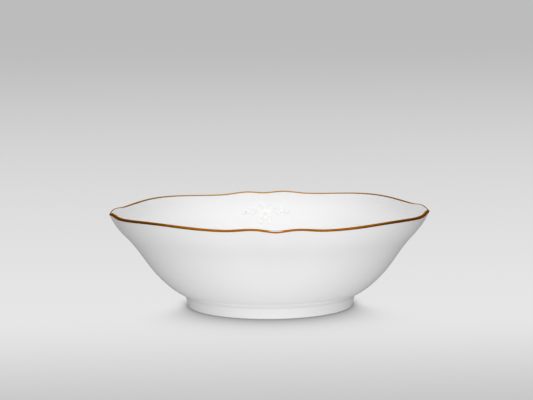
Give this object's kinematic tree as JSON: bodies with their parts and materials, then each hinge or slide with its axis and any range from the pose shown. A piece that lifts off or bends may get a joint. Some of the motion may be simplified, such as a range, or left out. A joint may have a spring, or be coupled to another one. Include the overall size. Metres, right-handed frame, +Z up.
{
  "type": "serving bowl",
  "caption": "Flared porcelain serving bowl with a scalloped gilded rim, a plain foot ring and white raised flower sprays inside.",
  "frame": {"origin": "centre of the circle that the foot ring stands on, at the level of the table", "axes": "+Z up out of the bowl's mouth; -Y towards the front, where one of the rim's four pointed tips is; +X to the right seen from the front"},
  "size_m": [0.2484, 0.2484, 0.0764],
  "materials": {
    "glazed_porcelain": "bright white porcelain under a clear glossy glaze",
    "foot_porcelain": "the same glaze on the foot's sides, with a bare smooth standing edge",
    "gilding": "bright burnished gold, a little worn at the lip",
    "white_relief": "raised white enamel with a soft gloss"
  },
  "bodies": {
    "root": {"bowl_shell": "glazed_porcelain", "foot_ring": "foot_porcelain", "rim_gilding": "gilding", "front_rose": "white_relief", "front_blossom_left": "white_relief", "front_bud_left": "white_relief", "front_outer_leaf_left": "white_relief", "front_lower_leaf_left": "white_relief", "front_blossom_right": "white_relief", "front_bud_right": "white_relief", "front_outer_leaf_right": "white_relief", "front_lower_leaf_right": "white_relief", "right_rose": "white_relief", "right_blossom_left": "white_relief", "right_bud_left": "white_relief", "right_outer_leaf_left": "white_relief", "right_lower_leaf_left": "white_relief", "right_blossom_right": "white_relief", "right_bud_right": "white_relief", "right_outer_leaf_right": "white_relief", "right_lower_leaf_right": "white_relief", "back_rose": "white_relief", "back_blossom_left": "white_relief", "back_bud_left": "white_relief", "back_outer_leaf_left": "white_relief", "back_lower_leaf_left": "white_relief", "back_blossom_right": "white_relief", "back_bud_right": "white_relief", "back_outer_leaf_right": "white_relief", "back_lower_leaf_right": "white_relief", "left_rose": "white_relief", "left_blossom_left": "white_relief", "left_bud_left": "white_relief", "left_outer_leaf_left": "white_relief", "left_lower_leaf_left": "white_relief", "left_blossom_right": "white_relief", "left_bud_right": "white_relief", "left_outer_leaf_right": "white_relief", "left_lower_leaf_right": "white_relief"}
  },
  "joints": []
}
